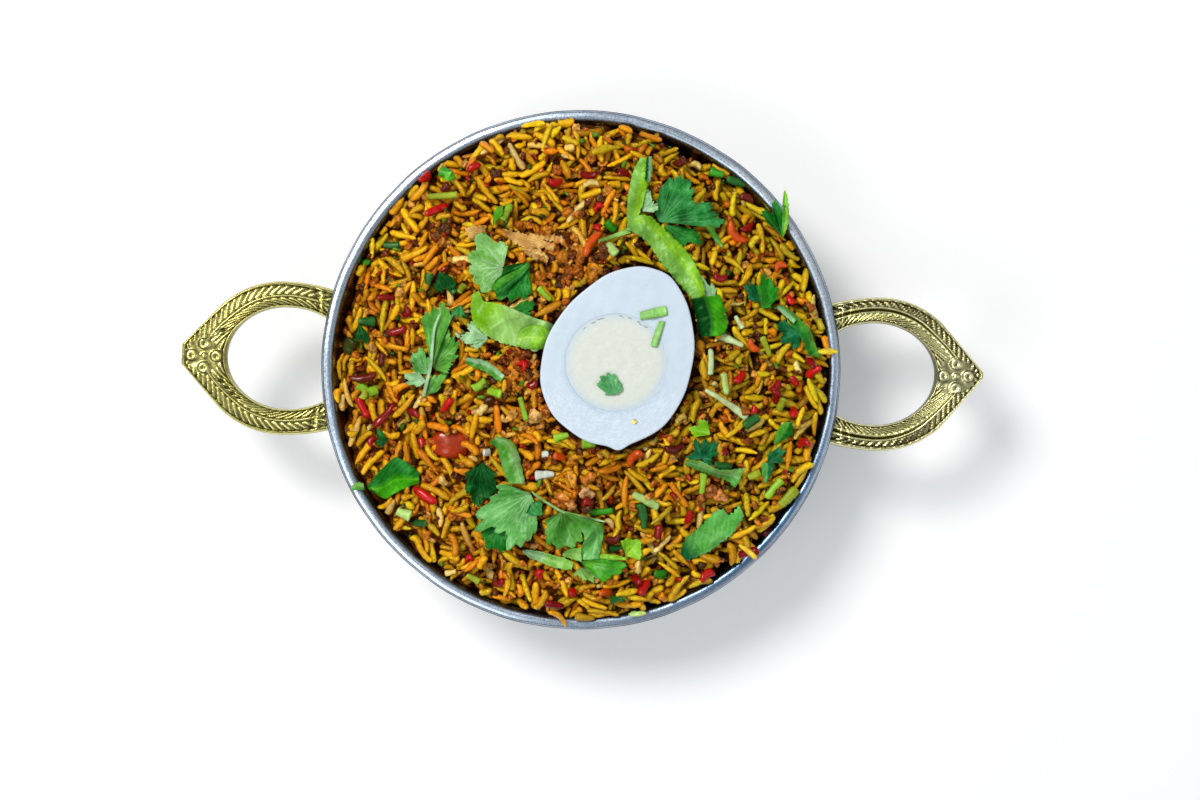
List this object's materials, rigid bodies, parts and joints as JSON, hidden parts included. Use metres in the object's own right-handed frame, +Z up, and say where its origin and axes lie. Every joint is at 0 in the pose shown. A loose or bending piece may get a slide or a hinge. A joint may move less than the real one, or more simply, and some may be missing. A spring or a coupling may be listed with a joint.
{
  "type": "biryani in a serving bowl",
  "caption": "Biryani of spiced basmati rice with a halved boiled egg and coriander leaves, heaped in a round steel kadai with a rolled rim and cast brass loop handles.",
  "frame": {"origin": "on the bowl's axis, at the underside of its flat base", "axes": "+Z up along the bowl's axis, +X towards the right-hand handle, +Y away from the diner"},
  "size_m": [0.2474, 0.16, 0.0715],
  "materials": {
    "steel": "satin stainless sheet, spun rings, fine scratches and small dents on the lip",
    "brass": "cast and polished, greenish yellow, dark patina in the chased relief",
    "rice": "cooked rice oiled and stained yellow to orange with spice, a few red and cream grains",
    "egg_white": "moist, slightly translucent, cool white",
    "egg_yolk": "dry crumbly cooked yolk, pale cream",
    "herb": "fresh leaf with a waxy sheen, dark to lime green, paler underneath",
    "chicken": "cooked fibrous meat, oily beige to brown",
    "tomato": "soft cooked skin, glossy dark red"
  },
  "bodies": {
    "root": {"bowl": "steel", "handle_left": "brass", "handle_right": "brass", "rivet_left_a": "brass", "rivet_left_b": "brass", "rivet_right_a": "brass", "rivet_right_b": "brass", "rice_heap": "rice", "egg_white": "egg_white", "egg_yolk": "egg_yolk", "chicken_flake": "chicken", "tomato_piece": "tomato", "leaf_veined_pale": "herb", "leaf_dark_folded": "herb", "leaf_lime_strip": "herb", "leaf_tall_trefoil": "herb", "sprig_upright": "herb", "sprig_long": "herb", "leaf_dark_fan": "herb", "leaf_beside_egg": "herb", "leaf_right_trefoil": "herb", "leaf_right_blade": "herb", "leaf_over_rim": "herb", "leaf_left_folded": "herb", "leaf_south_dark": "herb", "leaf_south_blade": "herb", "leaf_south_big": "herb", "leaf_south_veined": "herb", "leaf_south_pointed": "herb", "leaf_south_bright": "herb", "leaf_strip_pale": "herb", "leaf_pair_east": "herb", "leaf_far_east": "herb", "leaf_pale_big": "herb"}
  },
  "joints": []
}
